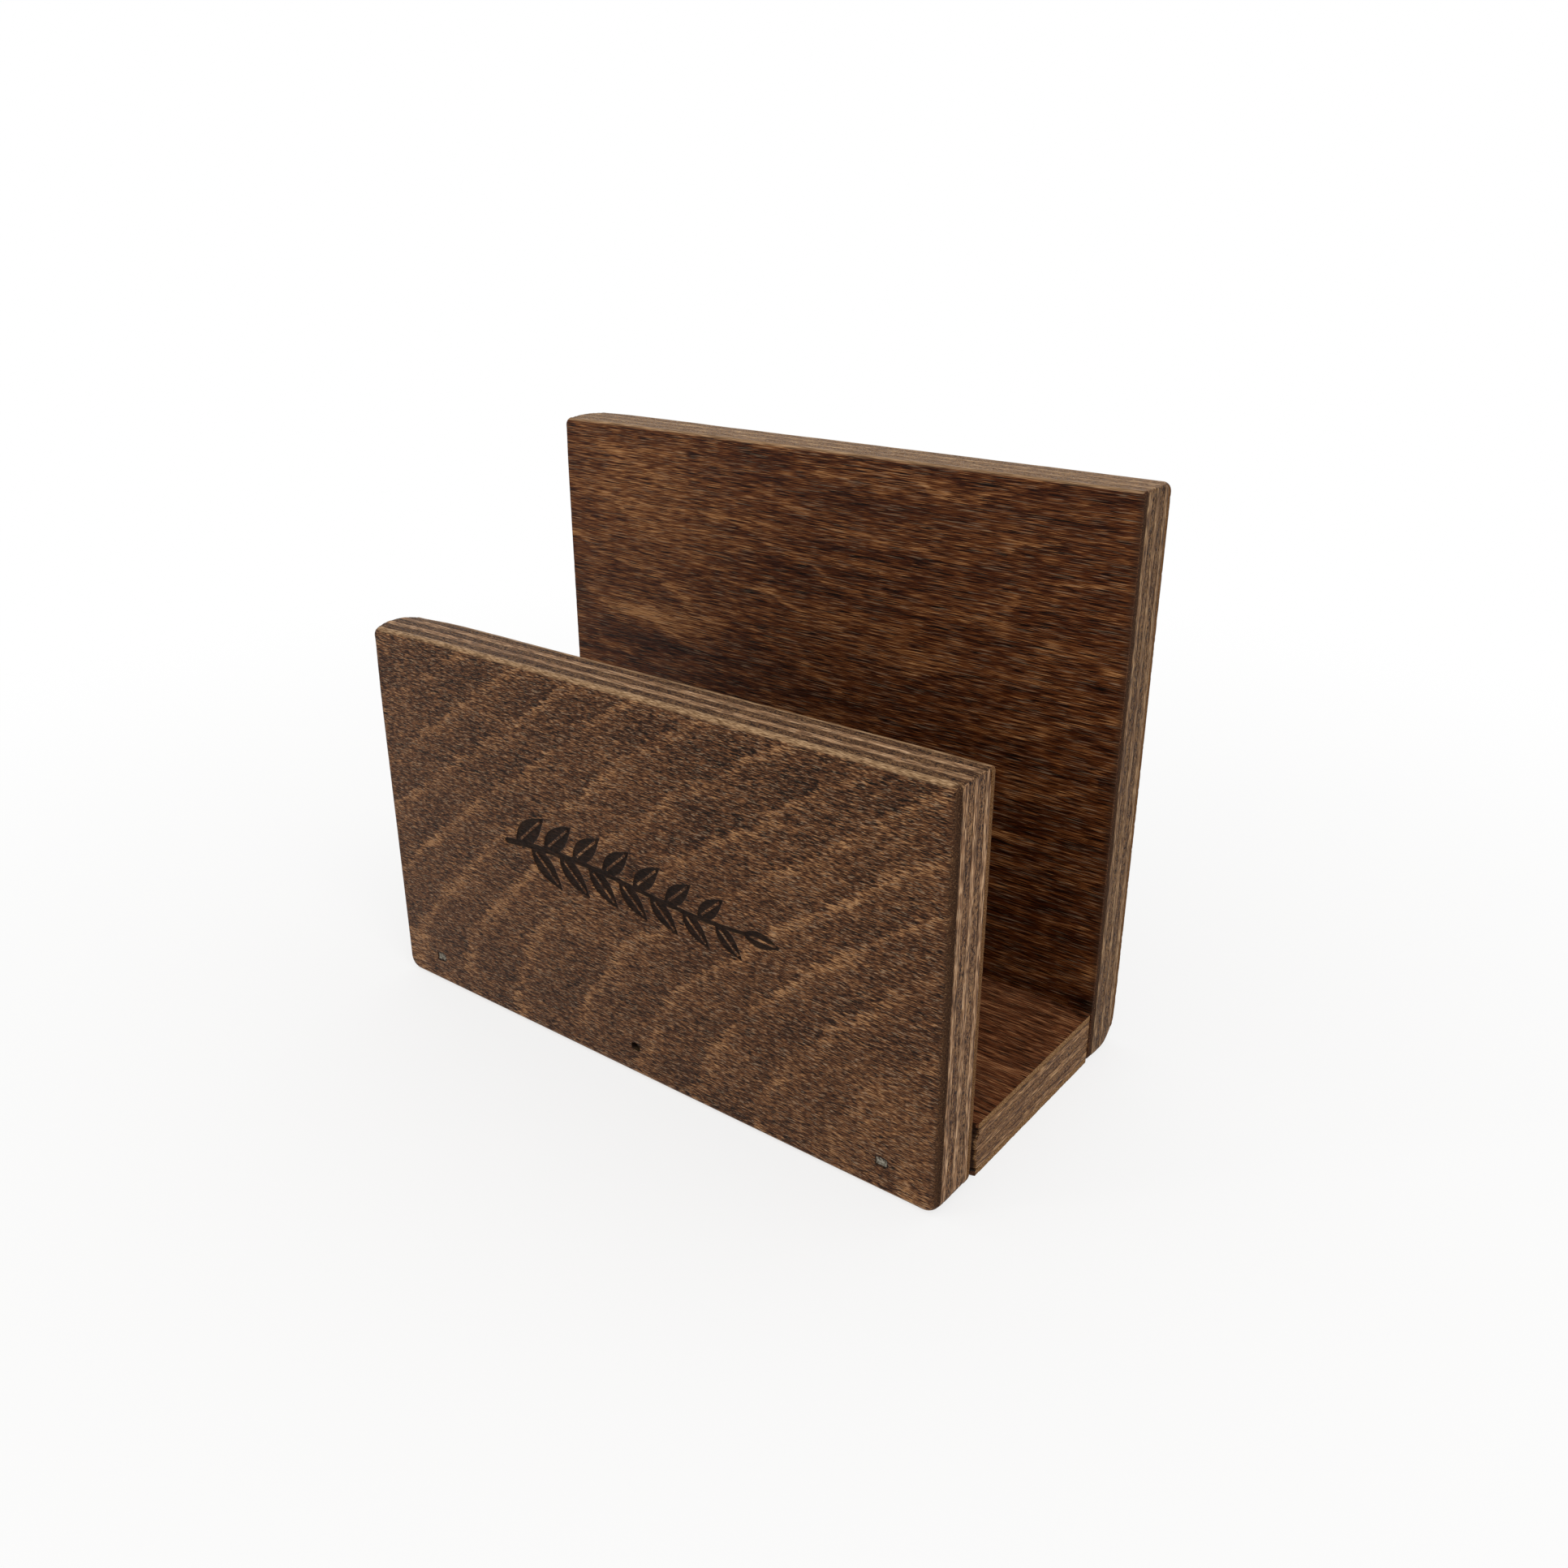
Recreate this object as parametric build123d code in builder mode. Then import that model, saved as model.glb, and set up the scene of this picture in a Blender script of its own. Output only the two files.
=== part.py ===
"""Open-sided napkin holder: a low front panel and a tall back panel, butted against a base board.

All three boards are seven-veneer plywood. Each veneer is a solid of its own, laid with its grain
square to its neighbours, and the panels are held to the base by brads driven through their faces.
The origin is on the table under the middle of the holder, +X runs along its width, +Y runs from
the front panel to the back panel and +Z is up. Sizes are in millimetres.
"""

import os

from build123d import *

# The holder
PANEL_WIDTH = 120.0
FRONT_HEIGHT = 69.5
BACK_HEIGHT = 99.2
NAPKIN_GAP = 40.4
BASE_INSET = 0.35

# The plywood lay-up
FACE_VENEER = 1.15
INNER_VENEER = 1.48
VENEER_NAMES = (
    "face",
    "face_crossband",
    "face_longband",
    "core",
    "back_longband",
    "back_crossband",
    "back",
)
SURFACE_VENEERS = ("face", "back")

# Hand-sanded edges: the round over a panel's edges, the corners left on its flat face inside
# that round, and the much smaller easing along the saw-cut ends of the base
EDGE_ROUND = 0.9
TOP_FLAT_CORNER = 0.6
BOTTOM_FLAT_CORNER = 1.6
BASE_EASING = 0.3

# The brads: flat wire with a wider head and a chisel point
BRAD_LENGTH = 20.0
BRAD_WIDTH = 1.25
BRAD_GAUGE = 1.0
BRAD_POINT = 1.6
HEAD_WIDTH = 2.0
HEAD_GAUGE = 1.25
HEAD_THICKNESS = 0.6
BRAD_FROM_END = 10.0
BRAD_BELOW_FLOOR = 4.1
SHALLOW_SET = 0.15
DEEP_SET = 1.1
BRAD_CLEARANCE = 0.02

# How far a cutting shape runs past the face that it cuts
OVERRUN = 1.0

# Sizes that follow from those above
BOARD_THICKNESS = 2 * FACE_VENEER + (len(VENEER_NAMES) - 2) * INNER_VENEER
HOLDER_DEPTH = NAPKIN_GAP + 2 * BOARD_THICKNESS
BASE_LENGTH = PANEL_WIDTH - 2 * BASE_INSET
TOP_CORNER = EDGE_ROUND + TOP_FLAT_CORNER
BOTTOM_CORNER = EDGE_ROUND + BOTTOM_FLAT_CORNER
BRAD_REACH = PANEL_WIDTH / 2 - BRAD_FROM_END
BRAD_HEIGHT = BOARD_THICKNESS - BRAD_BELOW_FLOOR

# A board is drawn on the plane of its better face, which looks out of the board
FRONT_FACE = Plane(origin=(0, -HOLDER_DEPTH / 2, 0), x_dir=(1, 0, 0), z_dir=(0, -1, 0))
BACK_FACE = Plane(origin=(0, NAPKIN_GAP / 2, 0), x_dir=(1, 0, 0), z_dir=(0, -1, 0))
BASE_FACE = Plane(origin=(0, 0, BOARD_THICKNESS), x_dir=(1, 0, 0), z_dir=(0, 0, 1))

# Brads go in through the outer face of each panel, along the plane's normal
FRONT_DRIVE = Plane(origin=(0, -HOLDER_DEPTH / 2, BRAD_HEIGHT), x_dir=(1, 0, 0), z_dir=(0, 1, 0))
BACK_DRIVE = Plane(origin=(0, HOLDER_DEPTH / 2, BRAD_HEIGHT), x_dir=(1, 0, 0), z_dir=(0, -1, 0))
BRAD_PLACES = (-BRAD_REACH, 0, BRAD_REACH)
FRONT_SETS = (SHALLOW_SET, DEEP_SET, SHALLOW_SET)
BACK_SETS = (SHALLOW_SET, SHALLOW_SET, SHALLOW_SET)


def panel(face_plane, height):
    """An upright board with rounded corners, its edges sanded round on both faces."""
    with BuildPart() as board:
        with BuildSketch(face_plane) as outline:
            Rectangle(PANEL_WIDTH, height, align=(Align.CENTER, Align.MIN))
            fillet(outline.vertices().group_by(Axis.Y)[-1], radius=TOP_CORNER)
            fillet(outline.vertices().group_by(Axis.Y)[0], radius=BOTTOM_CORNER)
        extrude(amount=-BOARD_THICKNESS)
        fillet(board.faces().filter_by(Axis.Y).edges(), radius=EDGE_ROUND)
    return board.part


def base():
    """The level board between the panels, sawn square and only just eased at its two ends."""
    with BuildPart() as board:
        with BuildSketch(BASE_FACE):
            Rectangle(BASE_LENGTH, NAPKIN_GAP)
        extrude(amount=-BOARD_THICKNESS)
        end_arrises = board.faces().filter_by(Axis.X).edges().filter_by(Axis.Y)
        fillet(end_arrises, radius=BASE_EASING)
    return board.part


def brad(drive_plane, place, set_depth, play=0):
    """One brad, its head set below the panel's face. Play grows it all round."""
    head_plane = Plane(
        origin=drive_plane.from_local_coords((place, 0, set_depth)),
        x_dir=drive_plane.x_dir,
        z_dir=drive_plane.z_dir,
    )
    side_plane = Plane(origin=head_plane.origin, x_dir=head_plane.z_dir, z_dir=head_plane.x_dir)
    half_gauge = BRAD_GAUGE / 2 + play
    with BuildPart() as nail:
        with BuildSketch(head_plane):
            Rectangle(HEAD_WIDTH + 2 * play, HEAD_GAUGE + 2 * play)
        extrude(amount=HEAD_THICKNESS + play)
        with BuildSketch(side_plane):
            with BuildLine():
                Polyline(
                    (0, -half_gauge),
                    (BRAD_LENGTH - BRAD_POINT, -half_gauge),
                    (BRAD_LENGTH + play, 0),
                    (BRAD_LENGTH - BRAD_POINT, half_gauge),
                    (0, half_gauge),
                    close=True,
                )
            make_face()
        extrude(amount=BRAD_WIDTH / 2 + play, both=True)
    return nail.part


def brad_hole(drive_plane, place, set_depth):
    """The hole that a brad leaves: its own shape, open from the head up to the panel's face."""
    nail = brad(drive_plane, place, set_depth, play=BRAD_CLEARANCE)
    mouth_plane = Plane(
        origin=drive_plane.from_local_coords((place, 0, -OVERRUN)),
        x_dir=drive_plane.x_dir,
        z_dir=drive_plane.z_dir,
    )
    with BuildPart() as hole:
        add(nail)
        with BuildSketch(mouth_plane):
            Rectangle(HEAD_WIDTH + 2 * BRAD_CLEARANCE, HEAD_GAUGE + 2 * BRAD_CLEARANCE)
        extrude(amount=OVERRUN + set_depth + HEAD_THICKNESS)
    return hole.part


def lay_up(board_name, board, face_plane, holes):
    """Cuts a board along its glue lines and writes each veneer, the better face first."""
    depth = 0
    for veneer_name in VENEER_NAMES:
        thickness = FACE_VENEER if veneer_name in SURFACE_VENEERS else INNER_VENEER
        with BuildPart() as veneer:
            add(board)
            if veneer_name != VENEER_NAMES[0]:
                split(bisect_by=face_plane.offset(-depth), keep=Keep.BOTTOM)
            depth += thickness
            if veneer_name != VENEER_NAMES[-1]:
                split(bisect_by=face_plane.offset(-depth), keep=Keep.TOP)
            for hole in holes:
                add(hole, mode=Mode.SUBTRACT)
        veneer.part.label = f"{board_name}_{veneer_name}"
        export_step(veneer.part, f"parts/{veneer.part.label}.step")


def brad_row(row_name, drive_plane, sets):
    """The brads of one panel, written as a group of separate solids. Returns the holes for them."""
    nails = [brad(drive_plane, place, set_depth) for place, set_depth in zip(BRAD_PLACES, sets)]
    with BuildPart() as row:
        for nail in nails:
            add(nail)
    row.part.label = row_name
    export_step(row.part, f"parts/{row_name}.step")
    return [brad_hole(drive_plane, place, set_depth) for place, set_depth in zip(BRAD_PLACES, sets)]


os.makedirs("parts", exist_ok=True)
front_holes = brad_row("front_brads", FRONT_DRIVE, FRONT_SETS)
back_holes = brad_row("back_brads", BACK_DRIVE, BACK_SETS)
lay_up("front_panel", panel(FRONT_FACE, FRONT_HEIGHT), FRONT_FACE, front_holes)
lay_up("back_panel", panel(BACK_FACE, BACK_HEIGHT), BACK_FACE, back_holes)
lay_up("base_board", base(), BASE_FACE, front_holes + back_holes)
print(f"holder {PANEL_WIDTH} x {HOLDER_DEPTH} x {BACK_HEIGHT} mm, boards {BOARD_THICKNESS:.2f} mm thick")
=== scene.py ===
# %% [markdown]
# # A stained plywood napkin holder
# Two upright panels are nailed to the long edges of a base board. Each board is seven birch veneers
# glued with the grain crossed, stained walnut brown and given a thin satin lacquer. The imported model
# already has every veneer at its true size, so it is loaded first and everything below is fitted to it.

# %% Load the frame
import math
from functools import partial
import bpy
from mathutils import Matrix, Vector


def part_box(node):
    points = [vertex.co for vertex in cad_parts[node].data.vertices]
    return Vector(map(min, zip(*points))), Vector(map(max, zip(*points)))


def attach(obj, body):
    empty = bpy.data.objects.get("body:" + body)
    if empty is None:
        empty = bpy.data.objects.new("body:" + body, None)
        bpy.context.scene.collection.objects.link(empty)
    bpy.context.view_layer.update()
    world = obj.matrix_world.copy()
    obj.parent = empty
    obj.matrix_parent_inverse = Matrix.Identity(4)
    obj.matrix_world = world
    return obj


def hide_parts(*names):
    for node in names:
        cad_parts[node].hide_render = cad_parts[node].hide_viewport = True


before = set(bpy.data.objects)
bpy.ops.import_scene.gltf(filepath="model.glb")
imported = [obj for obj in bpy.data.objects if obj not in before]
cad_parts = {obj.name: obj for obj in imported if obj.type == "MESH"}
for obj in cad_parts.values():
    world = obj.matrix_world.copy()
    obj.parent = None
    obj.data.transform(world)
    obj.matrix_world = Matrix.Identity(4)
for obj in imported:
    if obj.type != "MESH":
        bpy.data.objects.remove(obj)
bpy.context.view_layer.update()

from types import SimpleNamespace

import bpy
import numpy as np
from mathutils import Vector

# %% [markdown]
# ## Where a veneer lies
# The boxes of the nodes give each veneer's length, height and thickness. A veneer is drawn flat, in
# three directions of its own: u along the holder, v up the board and w into the board from the side
# that is drawn first. The outer veneer at a board's back is the same drawing turned half round, so that
# its good side looks out as well. A small record of origin and directions is enough to carry any
# drawing into the holder, and no object has to be moved afterwards.

# %% Place a veneer's drawing
MM = 0.001
ALONG, BACKWARDS, UP = np.eye(3)
BOARDS = {"front_panel": (UP, BACKWARDS), "back_panel": (UP, BACKWARDS), "base_board": (BACKWARDS, -UP)}
VENEERS = ("face", "face_crossband", "face_longband", "core", "back_longband", "back_crossband", "back")
CROSSED = ("face_crossband", "core", "back_crossband")


def placed(board, veneer):
    """The veneer's own frame: its origin, its u, v and w directions, its half width, its lowest and
    highest v, its thickness, and how deep it starts below the board's face, all in millimetres."""
    low, high = (np.array(corner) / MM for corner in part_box(f"{board}_{veneer}"))
    face_low, face_high = (np.array(corner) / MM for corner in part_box(f"{board}_face"))
    up, into = BOARDS[board]
    turned = -1 if veneer == "back" else 1
    near, far = sorted((low @ into, high @ into))
    return SimpleNamespace(
        origin=into * (far if turned < 0 else near), u=ALONG * turned, v=up, w=into * turned, turned=turned,
        half=(high - low)[0] / 2, low=low @ up, high=high @ up, thick=far - near,
        start=near - min(face_low @ into, face_high @ into))


def carried(at, u, v, w):
    """Points in metres: the origin, plus u, v and w times their directions."""
    u, v, w = (x.reshape(-1, 1) for x in (u, v, w))
    return (at.origin + u * at.u + v * at.v + w * at.w) * MM


for veneer in VENEERS:
    print(veneer, "starts", round(placed("front_panel", veneer).start, 3), "mm below the face")

# %% [markdown]
# ## From arrays to a mesh
# Every shape below is worked out as whole numpy arrays. One function hands the finished points and
# faces to Blender with foreach_set, which is far quicker than adding them one by one. Faces of four
# corners and the many-cornered caps go in as one list of corners with a start for each face. Edges
# sharper than 40 degrees are marked, so that smooth shading stops at a veneer's cut edge.

# %% Make a mesh object
SHARP_ANGLE = math.radians(40)


def make_piece(name, points, quads, caps, marks):
    """A closed mesh from points in metres, an array of four-cornered faces and a list of caps. Marks
    are numbers kept on the points, such as how far a place was worn down, for the materials."""
    corners = np.concatenate([quads.ravel(), *caps])
    totals = np.concatenate([np.full(len(quads), 4), [len(cap) for cap in caps]])
    starts = np.concatenate([[0], np.cumsum(totals)[:-1]])
    mesh = bpy.data.meshes.new(name)
    mesh.vertices.add(len(points))
    mesh.vertices.foreach_set("co", points.astype(np.float32).ravel())
    mesh.loops.add(len(corners))
    mesh.loops.foreach_set("vertex_index", corners.astype(np.int32))
    mesh.polygons.add(len(totals))
    mesh.polygons.foreach_set("loop_start", starts.astype(np.int32))
    mesh.update(calc_edges=True)
    mesh.polygons.foreach_set("use_smooth", np.ones(len(totals), bool))
    mesh.set_sharp_from_angle(angle=SHARP_ANGLE)
    for mark, values in marks.items():
        mesh.attributes.new(mark, "FLOAT", "POINT").data.foreach_set("value", values.astype(np.float32))
    mesh.validate()
    piece = bpy.data.objects.new(name, mesh)
    bpy.context.scene.collection.objects.link(piece)
    return piece


def walls(rows):
    """Faces between rows of point numbers, each row a closed path: a point and the next one along, with
    the two that lie below them."""
    after = np.roll(rows, -1, axis=1)
    return np.stack([rows[:-1], rows[1:], after[1:], after[:-1]], axis=-1).reshape(-1, 4)


print("meshes keep edges over", round(math.degrees(SHARP_ANGLE)), "degrees sharp")

# %% [markdown]
# ## Grain as a field of numbers
# Wood is never quite smooth. Its unevenness is a smooth random field: random values on the points of a
# lattice, blended in between. Stretching the lattice along one direction turns spots into fibres. Every
# seed is fixed, so the holder comes out the same each time.

# %% Draw a smooth random field
LATTICE = 256


def grain(a, b, seed):
    """Random values from -1 to 1 on whole-number lattice points, blended by 3t^2 - 2t^3 between them."""
    values = np.random.default_rng(seed).uniform(-1, 1, (LATTICE, LATTICE))
    i, j = np.floor(a).astype(int), np.floor(b).astype(int)
    s, t = a - i, b - j
    s, t = s * s * (3 - 2 * s), t * t * (3 - 2 * t)
    next_i, next_j = (i + 1) % LATTICE, (j + 1) % LATTICE
    i, j = i % LATTICE, j % LATTICE
    near = values[i, j] * (1 - s) + values[next_i, j] * s
    far = values[i, next_j] * (1 - s) + values[next_i, next_j] * s
    return near * (1 - t) + far * t


sample = grain(np.linspace(0, 40, 400), np.zeros(400), 1)
print("grain field runs from", round(sample.min(), 2), "to", round(sample.max(), 2))

# %% [markdown]
# ## Grid lines where they are needed
# Every sheet starts as a grid of rows and columns. Most of it can be coarse, and only a corner, a seam
# or a drawing needs close lines. A list of spans with their own step gives that, without a second mesh.

# %% Space the lines of a grid
def spaced(low, high, step, fine=()):
    """Grid lines from low to high about one step apart, and closer inside each (low, high, step) span."""
    cuts = sorted({low, high, *(x for a, b, _ in fine for x in (a, b) if low < x < high)})
    runs = []
    for a, b in zip(cuts, cuts[1:]):
        gap = min([step] + [s for lo, hi, s in fine if lo <= a and b <= hi])
        runs.append(np.linspace(a, b, max(1, round((b - a) / gap)) + 1)[:-1])
    return np.append(np.concatenate(runs), high)


def rim(rows, columns):
    """The numbers of a grid's outer points, in order round it, starting along the first row."""
    at = np.arange(rows * columns).reshape(rows, columns)
    return np.concatenate([at[0, :-1], at[:-1, -1], at[-1, :0:-1], at[:0:-1, 0]])


print("lines:", spaced(0, 6, 2, [(2, 4, 0.5)]), "rim of a 3 by 4 grid:", rim(3, 4))

# %% [markdown]
# ## The outline of a board
# A panel is a rectangle with rounded corners. They were rounded by hand, so no two are alike: the lower
# ones are large, the upper right ones almost sharp, and each is tightest in the middle of the board and
# rounder towards both faces, like a pillow. A plain grid can be bent to that outline: in each corner
# square its square rings are pulled in to round ones, and everywhere else it stays as it is.

# %% Bend a grid to the outline
LAST_VENEER = placed("front_panel", "back")
BOARD_THICKNESS = LAST_VENEER.start + LAST_VENEER.thick
PILLOW = 2.2  # how deep the rounder part of a corner reaches
LEFT, RIGHT, LOW, HIGH = -1, 1, -1, 1
SAWN_CORNER = 0.05
TINY = 1e-12  # stands in for a length of zero, which nothing can be divided by
CORNERS = {  # each radius: at the face, inside the board, at the back
    "front_panel": {(LEFT, LOW): (2.7, 2.3, 2.5), (RIGHT, LOW): (2.6, 2.3, 2.3),
                    (LEFT, HIGH): (1.9, 1.2, 2.8), (RIGHT, HIGH): (1.15, 0.35, 0.7)},
    "back_panel": {(LEFT, LOW): (2.4, 1.5, 3.6), (RIGHT, LOW): (1.7, 1.2, 3.8),
                   (LEFT, HIGH): (1.5, 0.9, 2.0), (RIGHT, HIGH): (0.85, 0.35, 1.5)},
    "base_board": {(side, end): (SAWN_CORNER,) * 3 for end in (LOW, HIGH) for side in (LEFT, RIGHT)},
}


def near_faces(depth):
    """How near a depth is to the board's face and to its back: a bell curve of the distance from each."""
    return np.exp(-(depth / PILLOW) ** 2), np.exp(-((BOARD_THICKNESS - depth) / PILLOW) ** 2)


def corner_radii(board, depth):
    """Every corner's radius at a depth: the inner one, and more of the outer ones near the two faces."""
    front, back = near_faces(depth)
    return {corner: inside + (at_face - inside) * front + (at_back - inside) * back
            for corner, (at_face, inside, at_back) in CORNERS[board].items()}


def bent_to_outline(u, v, half, low, high, radii):
    """Pulls the corner squares of a grid to quarter discs: a point's offset d from the corner's centre
    becomes d times its larger part over its length. Returns the new u, v and the outward direction."""
    side, end = np.where(u < 0, LEFT, RIGHT), np.where(v < (low + high) / 2, LOW, HIGH)
    radius = sum(np.where((side == s) & (end == e), r, 0) for (s, e), r in radii.items())
    du = side * np.maximum(np.abs(u) - (half - radius), 0)
    dv = np.maximum(v - (high - radius), 0) + np.minimum(v - (low + radius), 0)
    length = np.maximum(np.hypot(du, dv), TINY)
    pull = np.maximum(np.abs(du), np.abs(dv)) / length
    return u + du * (pull - 1), v + dv * (pull - 1), du / length, dv / length


middle = corner_radii("back_panel", BOARD_THICKNESS / 2)[RIGHT, HIGH]
print("upper right corner of the back panel:", round(middle, 2), "mm in the middle of the board")

# %% [markdown]
# ## What a saw and a sanding block leave on an edge
# Where fibres run along an edge, the saw leaves long shallow furrows. Where it cuts across them, the
# open ends of the fibres are torn into small pits, and these sit a little lower after sanding. The glue
# lines show as hairline grooves, and sanding by hand leaves the whole edge slightly wavy. All of this
# goes inwards only, so that no veneer grows past its true size.

# %% Wear an edge down
WAVE, WAVE_LENGTH, WAVE_SEED = 0.07, 19.0, 11
END_SHIFT = 50.0  # the ends take their wave from further along the field
MOSTLY_UP = 0.7
FURROW, FURROW_LENGTH, FURROW_WIDTH = 0.05, 5.0, 0.2
PIT, PIT_WIDTH, PIT_BASE = 0.09, 0.4, 0.03
GROOVE, GROOVE_WIDTH = 0.05, 0.09


def edge_wear(u, v, depth, outward_u, outward_v, from_glue, crossed, seed):
    """How far an edge is worn in, in millimetres. An edge that looks up or down takes its grain along
    u, and one that looks sideways along v. Furrows are the grain field stretched along the edge, pits
    are its positive half unstretched, grooves fall off with the distance from the glue line."""
    along = np.where(np.abs(outward_v) > MOSTLY_UP, u, v + END_SHIFT)
    wave = WAVE / 2 * (1 + grain(along / WAVE_LENGTH, 0 * u, WAVE_SEED))

    def furrows(along):
        return FURROW / 2 * (1 + grain(along / FURROW_LENGTH, depth / FURROW_WIDTH, seed))

    def pits(along):
        return PIT_BASE + PIT * np.maximum(grain(along / PIT_WIDTH, depth / PIT_WIDTH, seed + 1), 0)

    up_edge, side_edge = (pits(u), furrows(v)) if crossed else (furrows(u), pits(v))
    groove = GROOVE * np.exp(-(from_glue / GROOVE_WIDTH) ** 2)
    return wave + np.abs(outward_v) * up_edge + np.abs(outward_u) * side_edge + groove


MOST_WORN = round(WAVE + PIT_BASE + PIT + GROOVE, 2)
print("an edge wears in by up to about", MOST_WORN, "mm, before any rubbing or tear")

# %% [markdown]
# ## Rubbed corners
# At a few corners the sanding block went further and took a shallow, wide bit off the outline, most of
# it near the two faces. It is a bell curve of the distance from the corner, laid over the rounding.

# %% Rub corners down
# Each place: u, v, how far the rubbing reaches, and how deep it is at the face and at the back.
RUBBED = {
    "front_panel": ((-60, 69.5, 9.0, 0.40, 0.55), (-60, 30.0, 60.0, 0.12, 0.10)),
    "back_panel": ((-60, 99.2, 6.0, 0.22, 0.20), (60, 0, 6.0, 0.0, 0.25)),
    "base_board": (),
}
EVEN_SHARE = 0.25  # the part of a rubbing that goes right through the board


def rubbing(board, u, v, depth):
    """Depth of the rubbing: for each place a bell curve of the distance, times one of the depth."""
    front, back = near_faces(depth)
    worn = 0.0 * (u + depth)
    for corner_u, corner_v, reach, at_face, at_back in RUBBED[board]:
        away = ((u - corner_u) ** 2 + (v - corner_v) ** 2) / reach ** 2
        even = EVEN_SHARE * (at_face + at_back) / 2
        uneven = (1 - EVEN_SHARE) * (at_face * front + at_back * back)
        worn = worn + (even + uneven) * np.exp(-away)
    return worn


depths = np.array([0, BOARD_THICKNESS / 2, BOARD_THICKNESS])
print("upper left corner, rubbed", np.round(rubbing("front_panel", -60.0, 69.5, depths), 2), "mm")

# %% [markdown]
# ## Tears
# On the right edge of the front panel two short slits have opened in the veneers, one low down and one
# at the top. Each is a narrow hollow, longer than wide, added to the wear of that one veneer. And where
# the saw left the base, splinters broke away at its right-hand corners, so a ragged dark gap shows there.

# %% Tear strips out
# Each slit: its height, its depth in the board, its slant, and half its length and width.
TEARS = {
    ("front_panel", "face_longband"): (7.55, 3.1, 0.46, 1.0, 0.17),
    ("front_panel", "back_crossband"): (68.1, 8.42, -0.17, 1.1, 0.16),
}
TEAR_DEPTH = 0.9
BASE_EDGE = placed("base_board", "face").high
FRONT_BREAK, FRONT_WIDTH = 1.1, 2.1
BACK_BREAK, BACK_WIDTH = 0.3, 0.2
BREAK_WALL = 0.3
TEETH = ((0.25, 0.5), (0.12, 0.15))  # large and small: share of the width, size along the depth
BULGE, BULGE_DOWN, BULGE_REACH = 0.45, 1.2, 1.5
SPLINTER_SEED = 91


def tear(v, depth, up, down, slant, half_length, half_width):
    """A hollow along a leaning slit: a flat-topped bell curve along it, and a plain one across it."""
    along, across = (v - up) / half_length, (depth - down - slant * (v - up)) / half_width
    return TEAR_DEPTH * np.exp(-along ** 4 - across ** 2)


def splinters(v, depth):
    """Broken corners of the base: full depth from the seam to a ragged width, then up a steep wall. The
    break is widest just below the top."""
    teeth = (share * grain(depth / size, 0 * v, SPLINTER_SEED + i) for i, (share, size) in enumerate(TEETH))
    ragged = (1 + sum(teeth)) * (1 + BULGE * np.exp(-((depth - BULGE_DOWN) / BULGE_REACH) ** 2))
    front = np.clip((FRONT_WIDTH * ragged - v - BASE_EDGE) / BREAK_WALL, 0, 1)
    back = np.clip((BACK_WIDTH * ragged + v - BASE_EDGE) / BREAK_WALL, 0, 1)
    return FRONT_BREAK * front + BACK_BREAK * back


print(len(TEARS), "slits, and the base's corners are broken about", FRONT_WIDTH, "mm wide")

# %% [markdown]
# ## The inner veneers
# Only the cut edge of an inner veneer can be seen. So it is a band: the outline, followed all the way
# round, carried through the thickness of the veneer in fine rows. Two flat caps close it where it is
# glued to its neighbours. A plain extrusion would give the stripe but not the worn, fibrous edge.

# %% Follow the outline
BAND_STEP, CORNER_STEP, CORNER_REACH = 0.28, 0.13, 3.0
SEAM_STEP, FRONT_SEAM, BACK_SEAM = 0.1, 4.4, 0.6


def seam_lines(board):
    """The spans of v at the base's seams that need closer lines, for the splinters."""
    front = (-BASE_EDGE - SEAM_STEP, -BASE_EDGE + FRONT_SEAM, SEAM_STEP)
    back = (BASE_EDGE - BACK_SEAM, BASE_EDGE + SEAM_STEP, SEAM_STEP)
    return [front, back] if board == "base_board" else []


def square_path(board, at):
    """The outline as a closed path, still with square corners, with closer points near its corners."""
    half, low, high = at.half, at.low, at.high
    near_u, near_v = ([(x - CORNER_REACH, x + CORNER_REACH, CORNER_STEP) for x in ends]
                      for ends in ((-half, half), (low, high)))
    u, v = np.meshgrid(spaced(-half, half, BAND_STEP, near_u),
                       spaced(low, high, BAND_STEP, near_v + seam_lines(board)))
    path = rim(*u.shape)
    return u.ravel()[path], v.ravel()[path]


print("a panel's path has", len(square_path("front_panel", placed("front_panel", "core"))[0]), "points")

# %% [markdown]
# Each row of a band gets the path, bent to the corners that the board has at that depth, and moved in by
# the wear. Numpy does all rows at once: the depth is a column, the path is a row, and they multiply out.

# %% Make a band round the outline
BAND_ROWS, TORN_ROWS = 11, 25
BAND_SEED, SEEDS_APART = 100, 10


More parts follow.
